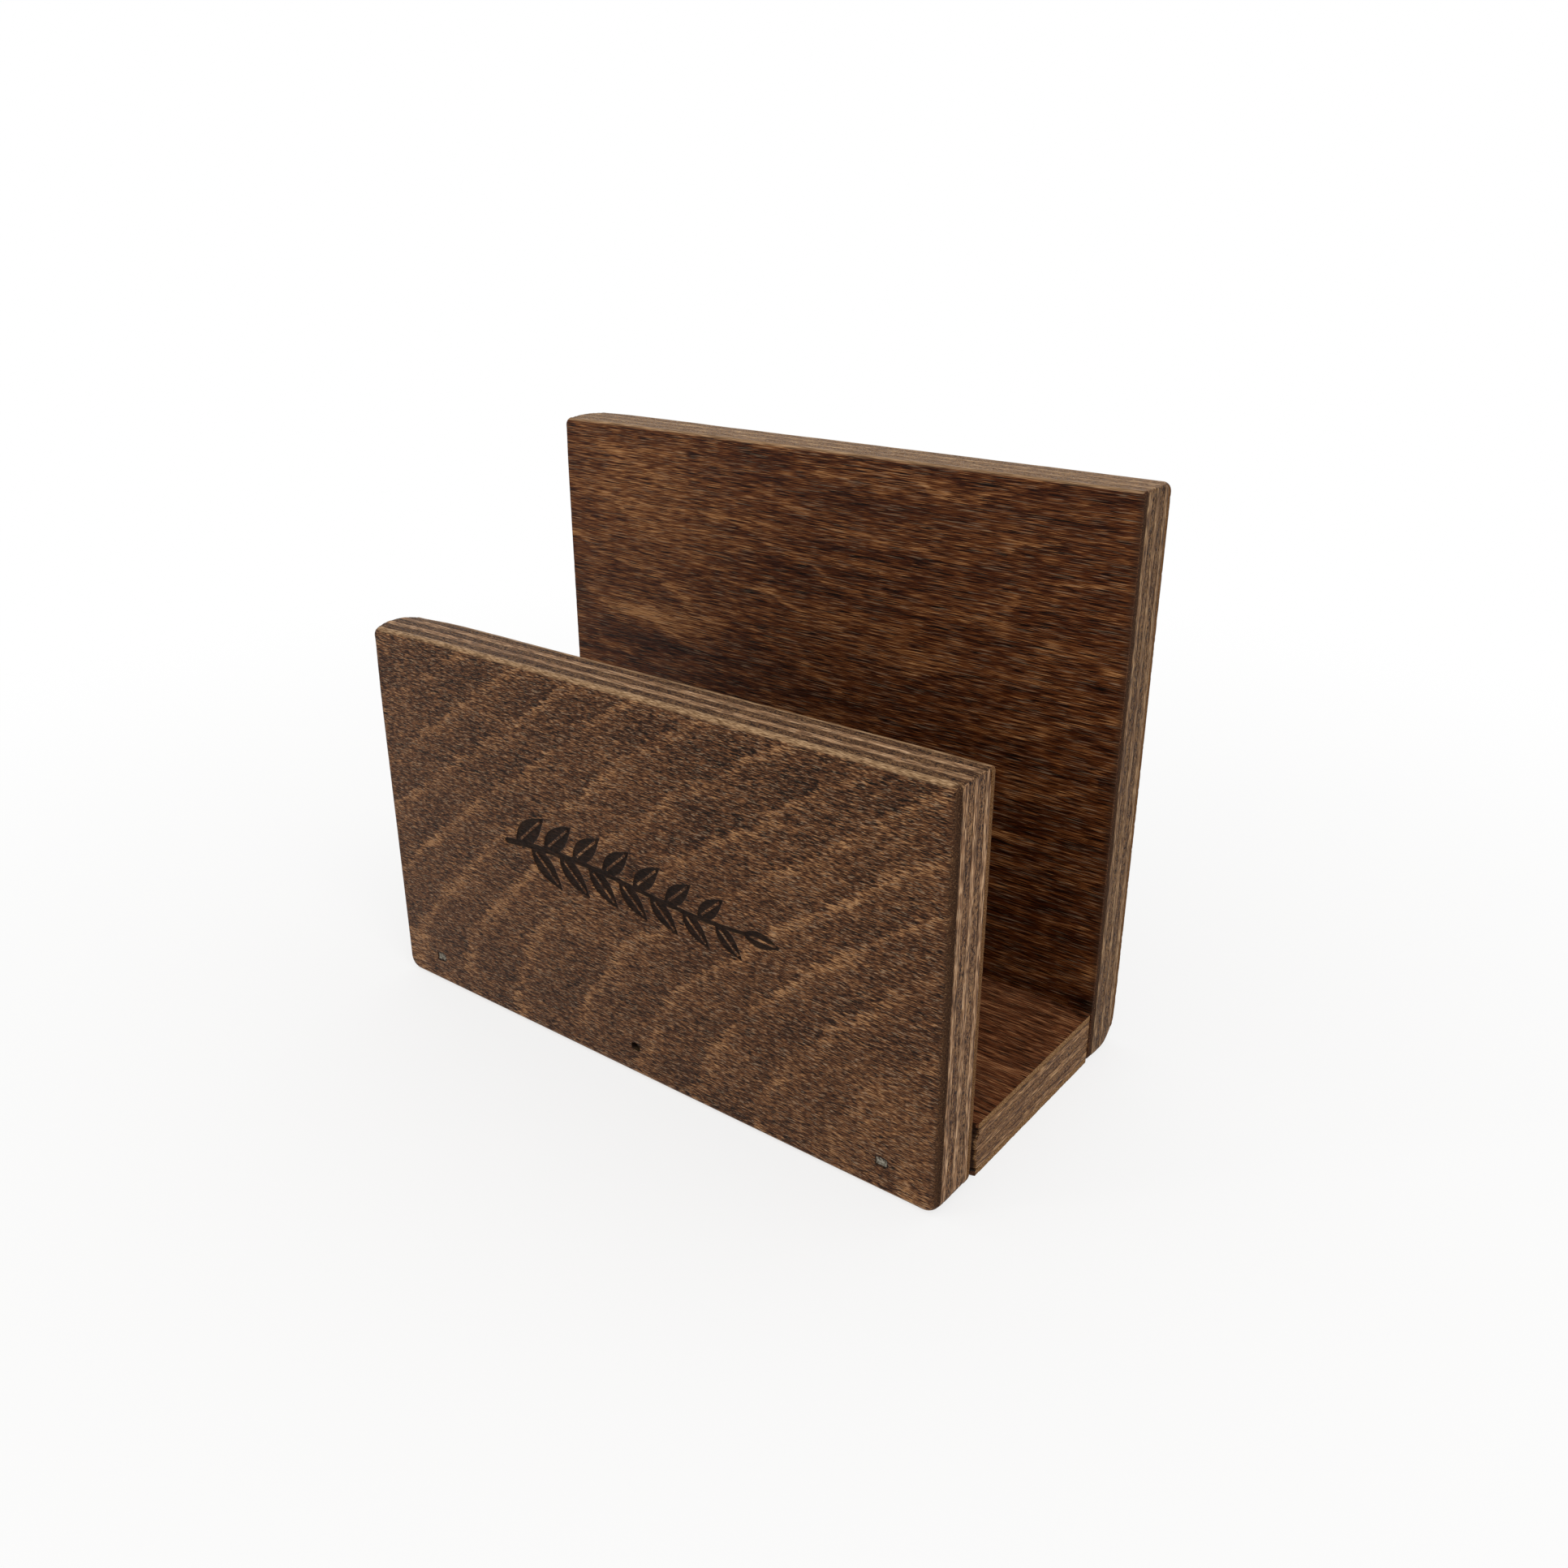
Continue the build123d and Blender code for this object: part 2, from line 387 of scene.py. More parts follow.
def inner_veneer(board, veneer, seed):
    """Points at the outline, less the wear, for every row of depth: a profile carried along a path."""
    at = placed(board, veneer)
    rows = TORN_ROWS if (board, veneer) in TEARS else BAND_ROWS
    u, v = square_path(board, at)
    w = np.linspace(0, at.thick, rows)[:, None] + 0 * u
    depth = at.start + w
    u, v, out_u, out_v = bent_to_outline(u + 0 * w, v + 0 * w, at.half, at.low, at.high,
                                         corner_radii(board, depth))
    from_glue = np.minimum(w, at.thick - w)
    torn = 0 * w
    if (board, veneer) in TEARS:
        torn = tear(v, depth, *TEARS[board, veneer]) * np.maximum(out_u, 0)
    worn = edge_wear(u, v, depth, out_u, out_v, from_glue, veneer in CROSSED, seed)
    worn = worn + rubbing(board, u, v, depth) + torn
    if board == "base_board":
        torn = splinters(v, depth) * (u > 0)
        u = np.minimum(u, at.half - torn)
    points = carried(at, u - out_u * worn, v - out_v * worn, w)
    number = np.arange(w.size).reshape(w.shape)
    marks = {"glue_mm": from_glue.ravel(), "torn_mm": torn.ravel()}
    piece = make_piece(f"{board}_{veneer}_band", points, walls(number), [number[0], number[-1][::-1]], marks)
    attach(piece, "root")
    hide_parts(f"{board}_{veneer}")
    return piece


BANDS = {}
for number, (board, veneer) in enumerate((b, n) for b in BOARDS for n in VENEERS[1:-1]):
    BANDS[board, veneer] = inner_veneer(board, veneer, BAND_SEED + SEEDS_APART * number)
print(len(BANDS), "bands,", sum(len(piece.data.polygons) for piece in BANDS.values()), "faces")

# %% [markdown]
# ## A burnt sprig
# A leaf sprig is branded into the front panel: a waved stem with leaves to both sides. A burnt line is
# a shallow groove with a crisp edge. The grid is too coarse for a crisp edge by itself, so each point
# keeps its distance from the edge of the drawing, and the material finds the edge between the points.

# %% Draw a stem and a leaf
SPRIG_LEFT, SPRIG_RIGHT, SPRIG_HEIGHT = -28.5, 31.0, 36.4
SPRIG_LENGTH = SPRIG_RIGHT - SPRIG_LEFT
STEM_WAVE, STEM_HALF, TIP_HALF = 0.9, 0.6, 0.3
RIB_HALF, RIB_FROM, RIB_TO = 0.2, 0.14, 0.86
BELLY = 0.8  # below 1, a leaf is widest nearer to its root


def stem_height(u):
    """The stem's middle line: one slow wave from end to end."""
    return SPRIG_HEIGHT + STEM_WAVE * np.sin(2 * math.pi * (u - SPRIG_LEFT) / SPRIG_LENGTH)


def leaf(u, v, root_u, length, half, angle):
    """Distance inside a leaf: its half width, a sine of the way along it, less the distance from its
    middle line. A thin rib is left unburnt along that line."""
    du, dv = u - root_u, v - stem_height(root_u)
    along = (du * math.cos(angle) + dv * math.sin(angle)) / length
    across = np.abs(dv * math.cos(angle) - du * math.sin(angle))
    inside = half * np.sin(math.pi * np.clip(along, 0, 1) ** BELLY) - across
    ribbed = np.where((along > RIB_FROM) & (along < RIB_TO), np.minimum(inside, across - RIB_HALF), inside)
    beyond = np.maximum(np.maximum(-along, along - 1), 0) * length
    return ribbed - beyond


print("the stem runs at", np.round(stem_height(np.array([SPRIG_LEFT, 0, SPRIG_RIGHT])), 2), "mm")

# %% [markdown]
# Distances of that kind join by taking the larger one, so seven pairs of leaves and the tip are simply
# laid over the stem, each pair a little smaller than the one before.

# %% Draw the sprig
LEAF_PAIRS, LEAF_LENGTH, LEAF_HALF, LEAF_ANGLE = 7, 9.6, 2.05, math.radians(42)
FIRST_LEAF, BARE_STEM, LOWER_AHEAD, SHRINKING = 2.5, 12.0, 3.6, 0.3
STEM_SHORT = 6.0  # the stem ends this far before the tip of the sprig
TIP_LENGTH, TIP_LEAF_HALF, TIP_ANGLE = 7.2, 1.4, -0.05


def sprig(u, v):
    """Distance inside the whole drawing, in millimetres: the largest of the stem's and the leaves'."""
    share = np.clip((u - SPRIG_LEFT) / SPRIG_LENGTH, 0, 1)
    ends = np.maximum(np.maximum(SPRIG_LEFT - u, u - SPRIG_RIGHT + STEM_SHORT), 0)
    drawn = STEM_HALF + (TIP_HALF - STEM_HALF) * share - np.abs(v - stem_height(u)) - ends
    for k in range(LEAF_PAIRS):
        way = k / LEAF_PAIRS
        root = SPRIG_LEFT + FIRST_LEAF + (SPRIG_LENGTH - BARE_STEM) * way
        length, half = LEAF_LENGTH * (1 - SHRINKING * way), LEAF_HALF * (1 - SHRINKING * way)
        for side, ahead in ((1, 0.0), (-1, LOWER_AHEAD)):
            drawn = np.maximum(drawn, leaf(u, v, root + ahead, length, half, side * LEAF_ANGLE))
    return np.maximum(drawn, leaf(u, v, SPRIG_RIGHT - TIP_LENGTH, TIP_LENGTH, TIP_LEAF_HALF, TIP_ANGLE))


TEST_STEP = 0.2
test_u, test_v = np.meshgrid(np.arange(-35, 35, TEST_STEP), np.arange(25, 50, TEST_STEP))
print("the sprig covers", round((sprig(test_u, test_v) > 0).sum() * TEST_STEP ** 2), "square mm")

# %% [markdown]
# ## Places where a brad went in
# A brad pushes the veneer down round its head. Two on the front were stopped just below the surface,
# and the one in the middle was driven far deeper, which leaves a dark torn hole. Each is a hollow with
# a steep wall, a little larger than the head, in the grid of the outer veneer.

# %% Sink the brads' hollows
BRAD_PLACES = (-50.0, 0.0, 50.0)
BRAD_UP = 5.6
HOLLOW_HALF_WIDTH, HOLLOW_HALF_HEIGHT, HOLLOW_CORNER = 0.98, 0.66, 0.5
HOLLOW_WALL, BELOW_HEAD = 0.32, 0.02
SHALLOW, DEEP = 0.15, 1.1
CLOSED_IN = 0.3  # torn wood that has closed in over the deep head
LAP, LAP_WIDTH, LAP_HEIGHT, LAP_SEED = 0.2, 0.6, 0.45, 71
LAP_SHIFT_U, LAP_SHIFT_V = 40.0, 3.0  # where its field is read, further on for a deeper hole
BRAD_SETS = {("front_panel", "face"): (SHALLOW, DEEP, SHALLOW),
             ("back_panel", "back"): (SHALLOW, SHALLOW, SHALLOW)}


def brad_hollow(u, v, set_depth):
    """Depth of one hollow: full inside a rounded, ragged rectangle, and up its wall to nothing. Fibres
    lap over the head's corners, and over a deep head they have closed in from all sides."""
    torn = LAP * grain(u / LAP_WIDTH + set_depth * LAP_SHIFT_U, v / LAP_HEIGHT + LAP_SHIFT_V, LAP_SEED)
    torn = torn + CLOSED_IN * (set_depth > SHALLOW)
    du = np.maximum(np.abs(u) - HOLLOW_HALF_WIDTH + HOLLOW_CORNER, 0)
    dv = np.maximum(np.abs(v - BRAD_UP) - HOLLOW_HALF_HEIGHT + HOLLOW_CORNER, 0)
    rise = np.clip((np.hypot(du, dv) - HOLLOW_CORNER + torn) / HOLLOW_WALL, 0, 1)
    return (set_depth + BELOW_HEAD) * (1 - rise * rise * (3 - 2 * rise))


print("a hollow is", 2 * HOLLOW_HALF_WIDTH, "mm wide at its floor")

# %% [markdown]
# ## The outer veneers
# An outer veneer shows its whole face. It is one grid over the flat part, then a quarter round at the
# edge, then the short wall down to the glue line, all carried on from the grid's own rim so that there
# is no seam. How far an edge is rounded over differs: the front face was sanded most, the ends of the
# others hardly. The face is not dead flat either: it is slightly wavy, with the sprig and the brads'
# hollows sunk into it.

# %% Sink the face
FACE_WAVE, WAVE_ALONG, WAVE_ACROSS = 0.05, 23.0, 9.0
BURN_DEPTH, BURN_OUTSIDE, BURN_WALL = 0.22, 0.08, 0.3
CHAR_LUMPS, CHAR_SIZE = 0.25, 0.5


def face_relief(board, veneer, u, v, seed):
    """Depth below the true face, depth of the brads' hollows alone, and distance inside the drawing."""
    sunk = FACE_WAVE / 2 * (1 + grain(u / WAVE_ALONG, v / WAVE_ACROSS, seed))
    burnt, hollow = np.full_like(u, -1.0), 0 * u
    if (board, veneer) == ("front_panel", "face"):
        burnt = np.clip(sprig(u, v), -1, 1)
        cut = np.clip((burnt + BURN_OUTSIDE) / BURN_WALL, 0, 1)
        sunk = sunk + BURN_DEPTH * cut * (1 + CHAR_LUMPS * grain(u / CHAR_SIZE, v / CHAR_SIZE, seed + 1))
    for place, set_depth in zip(BRAD_PLACES, BRAD_SETS.get((board, veneer), ())):
        hollow = np.maximum(hollow, brad_hollow(u - place, v, set_depth))
    return np.maximum(sunk, hollow), hollow, burnt


print("the sprig is burnt", BURN_DEPTH, "mm deep")

# %% [markdown]
# The grid of a face has close lines round the sprig, round each brad and in the corners. It is bent to
# the outline, less the rounding, and its rim is pulled in where corners were rubbed or broken away.

# %% Lay the grid of a face
FACE_STEP_U, FACE_STEP_V, CORNER_LINES = 0.95, 0.42, 5
SPRIG_STEP_U, SPRIG_STEP_V, SPRIG_MARGIN, SPRIG_REACH = 0.26, 0.23, 0.8, 7.6
HOLLOW_STEP, HOLLOW_REACH_U, HOLLOW_REACH_V = 0.11, 1.7, 1.3
PULLED = 3.0  # width of the rim that moves in with a rubbed edge
ROUNDS = {  # rounding of each outer veneer's ends and long edges
    ("front_panel", "face"): (1.1, 1.1), ("front_panel", "back"): (0.4, 0.9),
    ("back_panel", "face"): (0.4, 0.8), ("back_panel", "back"): (0.4, 0.7),
    ("base_board", "face"): (0.15, 0.02), ("base_board", "back"): (0.2, 0.02),
}


def fine_lines(board, veneer, half, low, high, radii):
    """The spans of u and v that need closer lines: the corners, the base's seams, the sprig, the brads."""
    fine_u, fine_v = [], seam_lines(board)
    for (side, end), r in radii.items():
        edge = low if end == LOW else high
        fine_u.append((side * half - r, side * half + r, r / CORNER_LINES))
        fine_v.append((edge - r, edge + r, r / CORNER_LINES))
    if (board, veneer) == ("front_panel", "face"):
        fine_u.append((SPRIG_LEFT - SPRIG_MARGIN, SPRIG_RIGHT + SPRIG_MARGIN, SPRIG_STEP_U))
        fine_v.append((SPRIG_HEIGHT - SPRIG_REACH, SPRIG_HEIGHT + SPRIG_REACH, SPRIG_STEP_V))
    if (board, veneer) in BRAD_SETS:
        fine_u += [(x - HOLLOW_REACH_U, x + HOLLOW_REACH_U, HOLLOW_STEP) for x in BRAD_PLACES]
        fine_v.append((BRAD_UP - HOLLOW_REACH_V, BRAD_UP + HOLLOW_REACH_V, HOLLOW_STEP))
    return fine_u, fine_v


def face_grid(board, veneer, at):
    """The flat part: a grid bent to the outline, then moved in by the rubbing and the splinters, in
    full at its rim and fading over the pulled width. Returns u, v and the outward direction."""
    end_round, side_round = ROUNDS[board, veneer]
    half, low, high = at.half - end_round, at.low + side_round, at.high - side_round
    depth = at.start + (at.thick if at.turned < 0 else 0)
    radii = {(at.turned * side, end): max(r - max(end_round, side_round), SAWN_CORNER)
             for (side, end), r in corner_radii(board, depth).items()}
    fine_u, fine_v = fine_lines(board, veneer, half, low, high, radii)
    u, v = np.meshgrid(spaced(-half, half, FACE_STEP_U, fine_u), spaced(low, high, FACE_STEP_V, fine_v))
    u, v, out_u, out_v = bent_to_outline(u, v, half, low, high, radii)
    moved = rubbing(board, at.turned * u, v, depth)
    if board == "base_board":
        moved = splinters(v, depth + 0 * v) * (at.turned * u > 0)
    near_u = np.clip(1 - (half - np.abs(u)) / PULLED, 0, 1)
    near_v = np.clip(1 - np.minimum(v - low, high - v) / PULLED, 0, 1) * (board != "base_board")
    moved = moved / np.maximum(np.hypot(near_u, near_v), 1)
    return u - np.sign(u) * near_u * moved, v - np.sign(v - (low + high) / 2) * near_v * moved, out_u, out_v


print("the front face has", face_grid("front_panel", "face", placed("front_panel", "face"))[0].size, "points")

# %% [markdown]
# The quarter round and the wall are rows of the same rim, moved outwards and down. Where the rounding
# differs between an end and a long edge, the radius changes over on the way round the corner.

# %% Make the faces
ROUND_ROWS, WALL_ROWS = 7, 3
SHEET_SEED, SHEETS_APART, RIM_SEED = 400, 20, 5


def outer_veneer(board, veneer, seed):
    """The grid of the face, then rows of its rim moved out and down: by r sin(a) and r (1 - cos(a)) over
    the quarter round, and straight down the wall, less the wear."""
    at = placed(board, veneer)
    end_round, side_round = ROUNDS[board, veneer]
    u, v, out_u, out_v = face_grid(board, veneer, at)
    grid = np.arange(u.size).reshape(u.shape)
    path = rim(*u.shape)
    u, v, out_u, out_v = u.ravel(), v.ravel(), out_u.ravel()[path], out_v.ravel()[path]
    sunk, hollow, burnt = face_relief(board, veneer, u, v, seed)
    turn = np.linspace(0, math.pi / 2, ROUND_ROWS + 1)[1:, None]
    radius = np.hypot(end_round * out_u, side_round * out_v)
    wall = radius + (at.thick - radius) * np.linspace(0, 1, WALL_ROWS + 1)[1:, None]
    w = np.concatenate([radius * (1 - np.cos(turn)), wall])
    facing = np.concatenate([np.sin(turn) + 0 * radius, np.ones((WALL_ROWS, len(path)))])
    depth = at.start + (w if at.turned > 0 else at.thick - w)
    from_glue = np.maximum(at.thick - w, 0)
    rim_u, rim_v = at.turned * u[path] + 0 * w, v[path] + 0 * w
    worn = facing * edge_wear(rim_u, rim_v, depth, out_u, out_v, from_glue, False, seed + RIM_SEED)
    broken = 0 * w
    if board == "base_board":
        broken = splinters(rim_v, depth) * np.maximum(at.turned * out_u, 0)
    edge_u = u[path] + out_u * (end_round * facing - worn)
    edge_v = v[path] + out_v * (side_round * facing - worn)
    points = carried(at, *(np.append(a, b) for a, b in ((u, edge_u), (v, edge_v), (sunk, w))))
    faces = np.stack([grid[:-1, :-1], grid[:-1, 1:], grid[1:, 1:], grid[1:, :-1]], axis=-1).reshape(-1, 4)
    rows = np.concatenate([path[None], u.size + np.arange(w.size).reshape(w.shape)])
    marks = {"glue_mm": np.append(np.full(u.size, at.thick), from_glue),
             "torn_mm": np.append(hollow, broken),
             "burnt_mm": np.append(burnt, np.full(w.size, -1.0))}
    quads = np.concatenate([faces, walls(rows)])
    piece = make_piece(f"{board}_{veneer}_sheet", points, quads, [rows[-1][::-1]], marks)
    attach(piece, "root")
    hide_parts(f"{board}_{veneer}")
    return piece


SHEETS = {}
for number, (board, veneer) in enumerate((b, n) for b in BOARDS for n in ("face", "back")):
    SHEETS[board, veneer] = outer_veneer(board, veneer, SHEET_SEED + SHEETS_APART * number)
    print(board, veneer, len(SHEETS[board, veneer].data.polygons), "faces")

# %% [markdown]
# ## Building materials from nodes
# Colours are given as sRGB hex values, but shaders work in linear light, so one function turns them over.
# Another adds a node, sets it and links it in one line, which keeps long node trees readable.
# A new material hands it out tied to its own tree, so the lines below only say what the node is.

# %% Colours and nodes
COLOURS = {"data_type": "RGBA", "out": 2}  # a Mix of two colours: sockets 0, 6 and 7, third output
SMOOTH = {"interpolation_type": "SMOOTHSTEP"}  # a MapRange that eases in and out
TIMES_PLUS = {"operation": "MULTIPLY_ADD"}  # the first input times the second, plus the third


def linear(code):
    """An sRGB hex colour as linear red, green, blue and full alpha. A very dark part is divided by 12.92,
    and any other goes through the power 2.4."""
    parts = [int(code[i:i + 2], 16) / 255 for i in (1, 3, 5)]
    return (*(p / 12.92 if p <= 0.04045 else ((p + 0.055) / 1.055) ** 2.4 for p in parts), 1.0)


def add_node(tree, kind, inputs=(), stops=(), out=0, **settings):
    """Adds one node and returns one of its outputs. Inputs are values, or the outputs that feed them: a
    list in the order of the sockets, or a dict. Stops are a colour ramp's places and hex colours."""
    node = tree.nodes.new("ShaderNode" + kind)
    for key, value in settings.items():
        setattr(node, key, value)
    for key, value in inputs.items() if isinstance(inputs, dict) else enumerate(inputs):
        if isinstance(value, bpy.types.NodeSocket):
            tree.links.new(value, node.inputs[key])
        else:
            node.inputs[key].default_value = value
    for i, (place, code) in enumerate(stops):
        stop = node.color_ramp.elements[i] if i < 2 else node.color_ramp.elements.new(place)
        stop.position, stop.color = place, linear(code)
    return node.outputs[out] if node.outputs else node


def new_material(name):
    """An empty material, the function that adds its nodes, and the place on the piece in millimetres."""
    material = bpy.data.materials.new(name)
    material.use_nodes = True
    material.node_tree.nodes.clear()
    add = partial(add_node, material.node_tree)
    place = add("TexCoord", out="Object")
    return material, add, add("VectorMath", {0: place, "Scale": 1 / MM}, operation="SCALE")


print("walnut stain in linear light:", [round(x, 3) for x in linear("#55351f")[:3]])

# %% [markdown]
# ## Grain inside the wood
# Wood is solid, so its pattern should be solid too: noise read at a place in the piece, with the place
# divided by the length of a lump in each direction. A long lump along the grain and thin ones across it
# make fibres, which run as streaks along a face and show as dots at an end. Several such fields are
# added up round a middle tone, and one colour ramp turns the sum into stained wood.

# %% Draw grain through the solid
NOISE_ROUGHNESS = 0.6


def fibre_pattern(add, mm, lengths, detail, shift):
    """Noise in lumps of the given lengths in millimetres along X, Y and Z, moved on by a shift."""
    spot = add("VectorMath", [mm, [1 / x for x in lengths], [shift] * 3], **TIMES_PLUS)
    noise = {"Vector": spot, "Scale": 1.0, "Detail": detail, "Roughness": NOISE_ROUGHNESS}
    return add("TexNoise", noise, out="Fac")


def summed_tone(add, level, *fields):
    """A level, plus how far each field is from its middle, 0.5, times that field's amount."""
    tone = level - sum(amount for _, amount in fields) / 2
    for field, amount in fields:
        tone = add("Math", [field, amount, tone], **TIMES_PLUS)
    return tone


def along_axis(axis, length, width):
    """Lengths of a lump that is stretched or flattened along one axis."""
    return [length if i == axis else width for i in range(3)]


print("a fibre bundle along X:", along_axis(0, 4.0, 0.2), "mm")

# %% [markdown]
# ## The cut edges of the plywood
# The same stain looks different on the two kinds of edge. Cut along the fibres, birch stays light and
# streaky. Cut across them, the open ends soak up more stain and go dark. The angle between the surface and
# the grain picks the colour. Sanding leaves flaky patches along every edge, and drying opens short cracks.
# The top edges are paler than the sides: partly rubbed, and partly a painted sheen of the glancing light they
# catch.

# %% Draw the figure of an edge
# Each field: its length along an axis and width across it in millimetres, its detail and its shift.
STREAK = (14.0, 0.5, 3.0, 3.7)  # soft bands of early and late wood
FIBRE = (2.4, 0.14, 2.0, 11.3)  # bundles of fibres: single ones, 0.03 mm wide, are too fine to show
CRACK = (2.6, 0.17, 2.0, 23.9)  # drying cracks
FLAKE = (0.42, 8.0, 3.0, 31.1)  # flat patches left by sanding, thin across the board
PORE = (0.18, 0.6, 2.0, 47.7)  # torn vessel ends, drawn out by the sanding
# Noise below the first number adds the third one to the tone, and noise above the second adds the fourth.
OPEN_CRACK, OPEN_PORE = (0.4, 0.44, -0.55, 0.0), (0.39, 0.44, -0.5, 0.0)
SIDE_LEVEL, SIDE_AMOUNTS = 0.68, (0.9, 2.6, 0.6)
END_LEVEL, END_AMOUNTS = 0.66, (1.8, 1.4, 1.2)


def edge_tones(add, mm, grain_axis, thick_axis):
    """The tone of an edge along the grain, that of one across it, and the flakes. Each tone is a level
    plus its fields of grain, less what the cracks or the open pores take off."""
    def field(axis, length, width, *noise):
        return fibre_pattern(add, mm, along_axis(axis, length, width), *noise)

    streaks, fibres, cracks = (field(grain_axis, *size) for size in (STREAK, FIBRE, CRACK))
    flakes, pores = (field(thick_axis, *size) for size in (FLAKE, PORE))
    crack = add("MapRange", [cracks, *OPEN_CRACK])
    pit = add("MapRange", [pores, *OPEN_PORE])
    side = summed_tone(add, SIDE_LEVEL, *zip((streaks, fibres, flakes), SIDE_AMOUNTS))
    end = summed_tone(add, END_LEVEL, *zip((pores, flakes, fibres), END_AMOUNTS))
    return add("Math", [side, crack], operation="ADD"), add("Math", [end, pit], operation="ADD"), flakes


print("an edge mixes", len((STREAK, FIBRE, CRACK, FLAKE, PORE)), "fields of grain")

# %% [markdown]
# The finish is a thin coat that sank into the open grain, so an edge is rougher and mirrors less than a face.
# Glue lines and torn places hold extra stain, and torn places are darkened further as painted shade down in
# the gaps and slits. Both are read from the numbers kept on the points.

# %% Stain the cut edges
LACQUER_IOR = 1.5
EDGE_LEVEL, EDGE_ROUGHNESS = 0.12, 0.55  # a coat that open grain has drunk up mirrors little
EDGE_BUMP = 0.05 * MM
SIDE_PLACES, END_PLACES = (0.0, 0.3, 0.55, 0.8, 1.0), (0.0, 0.35, 0.6, 1.0)
# PALE_TOP makes the top edges paler: partly rubbed wood, partly a painted sheen
PALE_TOP, GLUE_DARK, TORN_DARK = "#a98a6c", "#3d2717", "#2a160c"
ACROSS, UPWARD = (0.35, 0.8), (0.6, 0.95)  # how far the normal points so, from none to all of it
GLUE_RAGGED, GLUE_LINE = 0.25, (0.1, 0.3, 0.75, 0.0)
# TORN_DARK and this range: dark stain in torn places, and painted shade deep in their gaps and slits
TORN_STRIP = (0.1, 0.45, 0.0, 0.92)


def cut_edge(name, grain_axis, thick_axis, long_colours, end_colours, top_rub_and_sheen):
    """Birch plywood edge, sawn, sanded and stained. To the eye it is a dull stripe, light and streaky
    along the grain, dark and speckled across it, with a dark hairline at each glue line."""
    material, add, mm = new_material(name)
    side, end, flakes = edge_tones(add, mm, grain_axis, thick_axis)
    sides = add("ValToRGB", [side], zip(SIDE_PLACES, long_colours))
    ends = add("ValToRGB", [end], zip(END_PLACES, end_colours))
    normal = add("NewGeometry", out="Normal")
    grain_way = along_axis(grain_axis, 1.0, 0.0)
    facing = add("VectorMath", [normal, grain_way], out="Value", operation="DOT_PRODUCT")
    facing = add("Math", [facing], operation="ABSOLUTE")
    cut = add("MapRange", [facing, *ACROSS], **SMOOTH)
    wood = add("Mix", {0: cut, 6: sides, 7: ends}, **COLOURS)
    # painted sheen, with some rubbing: the part of an edge that faces up is made paler
    upward = add("SeparateXYZ", [normal], out="Z")
    upward = add("MapRange", [upward, *UPWARD, 0.0, top_rub_and_sheen])
    wood = add("Mix", {0: upward, 6: wood, 7: linear(PALE_TOP)}, blend_type="ADD", **COLOURS)
    glue = add("Attribute", out="Fac", attribute_name="glue_mm")
    glue = add("Math", [flakes, GLUE_RAGGED, glue], **TIMES_PLUS)
    glue = add("MapRange", [glue, *GLUE_LINE])
    wood = add("Mix", {0: glue, 6: wood, 7: linear(GLUE_DARK)}, **COLOURS)
    # torn places: dark stain, and painted shade down in the gaps and slits
    torn = add("Attribute", out="Fac", attribute_name="torn_mm")
    torn = add("MapRange", [torn, *TORN_STRIP])
    wood = add("Mix", {0: torn, 6: wood, 7: linear(TORN_DARK)}, **COLOURS)
    height = add("Math", [side, end], operation="ADD")
    bump = add("Bump", {"Strength": 1.0, "Distance": EDGE_BUMP, "Height": height})
    surface = add("BsdfPrincipled", {"Base Color": wood, "Roughness": EDGE_ROUGHNESS, "IOR": LACQUER_IOR,
                                     "Specular IOR Level": EDGE_LEVEL, "Normal": bump})
    add("OutputMaterial", [surface])
    return material


print("edges are", EDGE_ROUGHNESS, "rough")

# %% [markdown]
# Every board took the stain a little differently. The colours run from the bottom of a crack to a fibre
# rubbed bare, and each board has a set for its sides and one for its ends. The front panel's top edge
# was wiped once more, so its end grain is darker there.

# %% Choose the stain of each board
FRONT_SIDE = ("#201107", "#523520", "#775438", "#9e7651", "#cea984")
FRONT_END = ("#160a04", "#422715", "#603e26", "#9f7953")
FRONT_TOP = ("#120803", "#372011", "#52341f", "#8d6a48")
REAR_SIDE = ("#221306", "#4c311b", "#6c4c31", "#8d6a47", "#b8976f")
REAR_END = ("#150903", "#3b2311", "#573920", "#8e6b46")
BASE_SIDE = ("#241307", "#51321b", "#704c2e", "#926942", "#c29a6d")
BASE_END = ("#1b0e06", "#472b16", "#654125", "#9a7147")
X, Y, Z = range(3)
# Board, crossed or not, name, axes of grain and thickness, colours of sides and ends, paleness of the top
# from rubbing and painted sheen.
EDGE_LOOKS = (
    ("front_panel", False, "front_edge_grain_along", X, Y, FRONT_SIDE, FRONT_END, 0.14),
    ("front_panel", True, "front_edge_grain_upright", Z, Y, FRONT_SIDE, FRONT_TOP, 0.0),
    ("back_panel", False, "rear_edge_grain_along", X, Y, REAR_SIDE, REAR_END, 0.3),
    ("back_panel", True, "rear_edge_grain_upright", Z, Y, REAR_SIDE, REAR_END, 0.3),
    ("base_board", False, "base_edge_grain_along", X, Z, BASE_SIDE, BASE_END, 0.0),
    ("base_board", True, "base_edge_grain_through", Y, Z, BASE_SIDE, BASE_END, 0.0),
)
EDGES = {(board, crossed): cut_edge("stained_birch_" + name, *look)
         for board, crossed, name, *look in EDGE_LOOKS}
for (board, veneer), piece in BANDS.items():
    piece.data.materials.append(EDGES[board, veneer in CROSSED])
print("edge materials:", [material.name for material in EDGES.values()])

